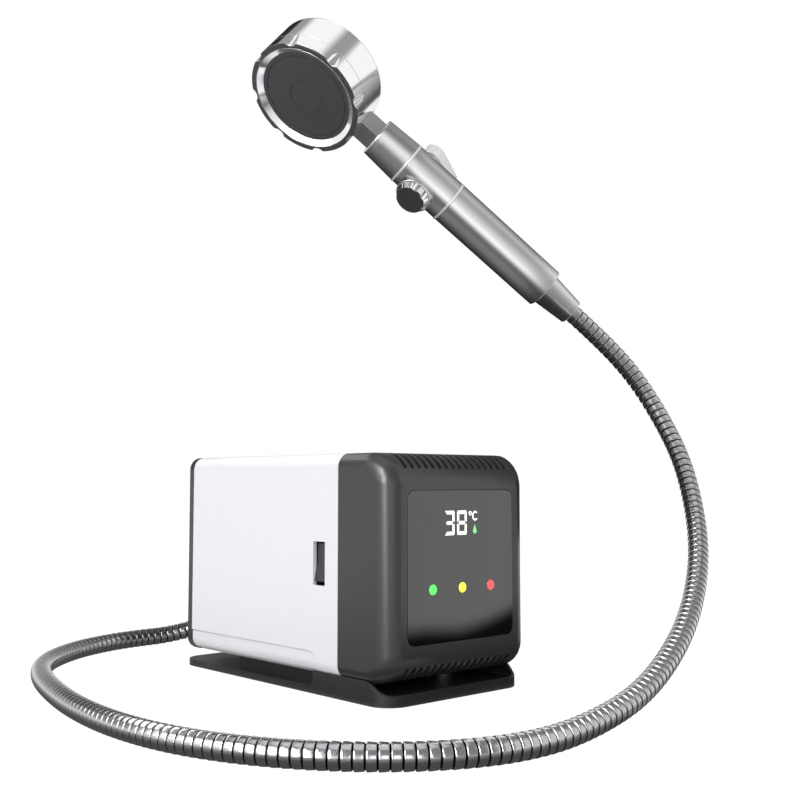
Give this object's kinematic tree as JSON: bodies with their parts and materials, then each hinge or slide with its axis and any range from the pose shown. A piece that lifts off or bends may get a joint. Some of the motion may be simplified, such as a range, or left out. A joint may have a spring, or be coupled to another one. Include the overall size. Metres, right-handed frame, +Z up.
{
  "type": "portable electric shower",
  "caption": "Box-shaped electric water heater on a low tray, with a display front and vent slots, and a steel hose to a hand shower with a round scalloped head, button and lever.",
  "frame": {"origin": "centre of the base mat's underside, on the floor", "axes": "+Z up, -Y out of the unit's display front, +X to the right of someone facing the display from inside the unit's rear, that is the hot outlet's side"},
  "size_m": [0.4382, 0.4786, 0.4646],
  "materials": {
    "white_case": "satin white, moulded",
    "dark_shell": "satin dark grey, moulded",
    "panel_gloss": "high gloss, near black",
    "base_black": "fine matte, near black",
    "black_rubber": "matte",
    "readout_white": "lit white",
    "drop_green": "lit green",
    "lamp_green": "lit green",
    "lamp_yellow": "lit yellow",
    "lamp_red": "lit red",
    "board_green": "solder mask",
    "zinc_steel": "bright zinc",
    "sheet_steel": "zinc-coated sheet",
    "brass_nickel": "turned",
    "hose_steel": "polished strip-wound",
    "chrome": "polished",
    "satin_chrome": "satin, ground along the handle",
    "spray_grey": "dark grey, satin",
    "button_black": "gloss black",
    "cast_aluminium": "die cast",
    "fan_black": "matte",
    "moulded_white": "matte",
    "motor_can": "drawn steel can",
    "silicone": "translucent silicone",
    "power_black": "moulded, near black"
  },
  "bodies": {
    "unit": {"base_tray": "base_black", "base_mat": "black_rubber", "riser_block": "base_black", "riser_screws": "zinc_steel", "white_sleeve": "white_case", "front_shell": "dark_shell", "rear_cover": "dark_shell", "rear_screws": "zinc_steel", "display_panel": "panel_gloss", "readout_digits": "readout_white", "unit_mark": "readout_white", "drop_light": "drop_green", "green_lamp": "lamp_green", "yellow_lamp": "lamp_yellow", "red_lamp": "lamp_red", "display_board": "board_green", "switch_housing": "power_black", "power_inlet": "power_black", "inlet_pins": "brass_nickel", "inlet_fitting": "brass_nickel", "outlet_fitting": "brass_nickel", "lock_nuts": "brass_nickel", "inlet_strainer": "hose_steel", "hose_nut": "chrome", "hose_washers": "black_rubber", "hose": "hose_steel", "cone_nut": "chrome", "grip_tube": "satin_chrome", "trim_rings": "chrome", "filter_cartridge": "moulded_white", "valve_body": "satin_chrome", "button_spring": "zinc_steel", "neck_socket": "satin_chrome", "neck": "satin_chrome", "head_drum": "chrome", "chassis": "sheet_steel", "fan_frame": "fan_black", "heater_block": "cast_aluminium", "heater_element": "motor_can", "thermal_cutout": "power_black", "temperature_probe": "motor_can", "flow_sensor": "moulded_white", "pump_housing": "fan_black", "pump_motor": "motor_can", "link_pipe": "silicone", "outlet_pipe": "silicone", "control_board": "board_green", "heat_sink": "cast_aluminium", "power_triac": "power_black"},
    "rocker": {"power_rocker": "dark_shell"},
    "impeller": {"pump_impeller": "moulded_white"},
    "turbine": {"flow_turbine": "fan_black"},
    "fan": {"fan_rotor": "fan_black"},
    "button": {"press_button": "chrome", "button_cap": "button_black"},
    "lever": {"flow_lever": "chrome"},
    "dial": {"spray_dial": "chrome", "dial_bezel": "spray_grey", "spray_plate": "spray_grey", "centre_disc": "spray_grey"}
  },
  "joints": [
    {"name": "rocker_switch", "type": "hinge", "parent": "unit", "child": "rocker", "pos_m": [-0.055, -0.0526, 0.0838], "axis": [0, 1, 0], "range_deg": [-12, 0]},
    {"name": "pump_impeller_spin", "type": "hinge", "parent": "unit", "child": "impeller", "pos_m": [-0.038, 0.0242, 0.0373], "axis": [0, 1, 0], "continuous": true},
    {"name": "flow_turbine_spin", "type": "hinge", "parent": "unit", "child": "turbine", "pos_m": [-0.038, 0.0652, 0.031], "axis": [0, 1, 0], "continuous": true},
    {"name": "fan_spin", "type": "hinge", "parent": "unit", "child": "fan", "pos_m": [0, -0.0701, 0.097], "axis": [0, 1, 0], "continuous": true},
    {"name": "stop_button_press", "type": "slide", "parent": "unit", "child": "button", "axis": [0.6848, 0.1092, 0.7205], "range_m": [0, 0.003], "stiffness_N_per_m": 400, "springref_m": -0.003, "deforming": ["button_spring"]},
    {"name": "flow_lever_turn", "type": "hinge", "parent": "unit", "child": "lever", "pos_m": [0.05851, -0.02997, 0.37727], "axis": [-0.6848, -0.1092, -0.7205], "range_deg": [0, 90]},
    {"name": "spray_dial_turn", "type": "hinge", "parent": "unit", "child": "dial", "pos_m": [-0.03081, -0.00053, 0.41718], "axis": [-0.6848, -0.1092, -0.7205], "range_deg": [0, 90]}
  ]
}
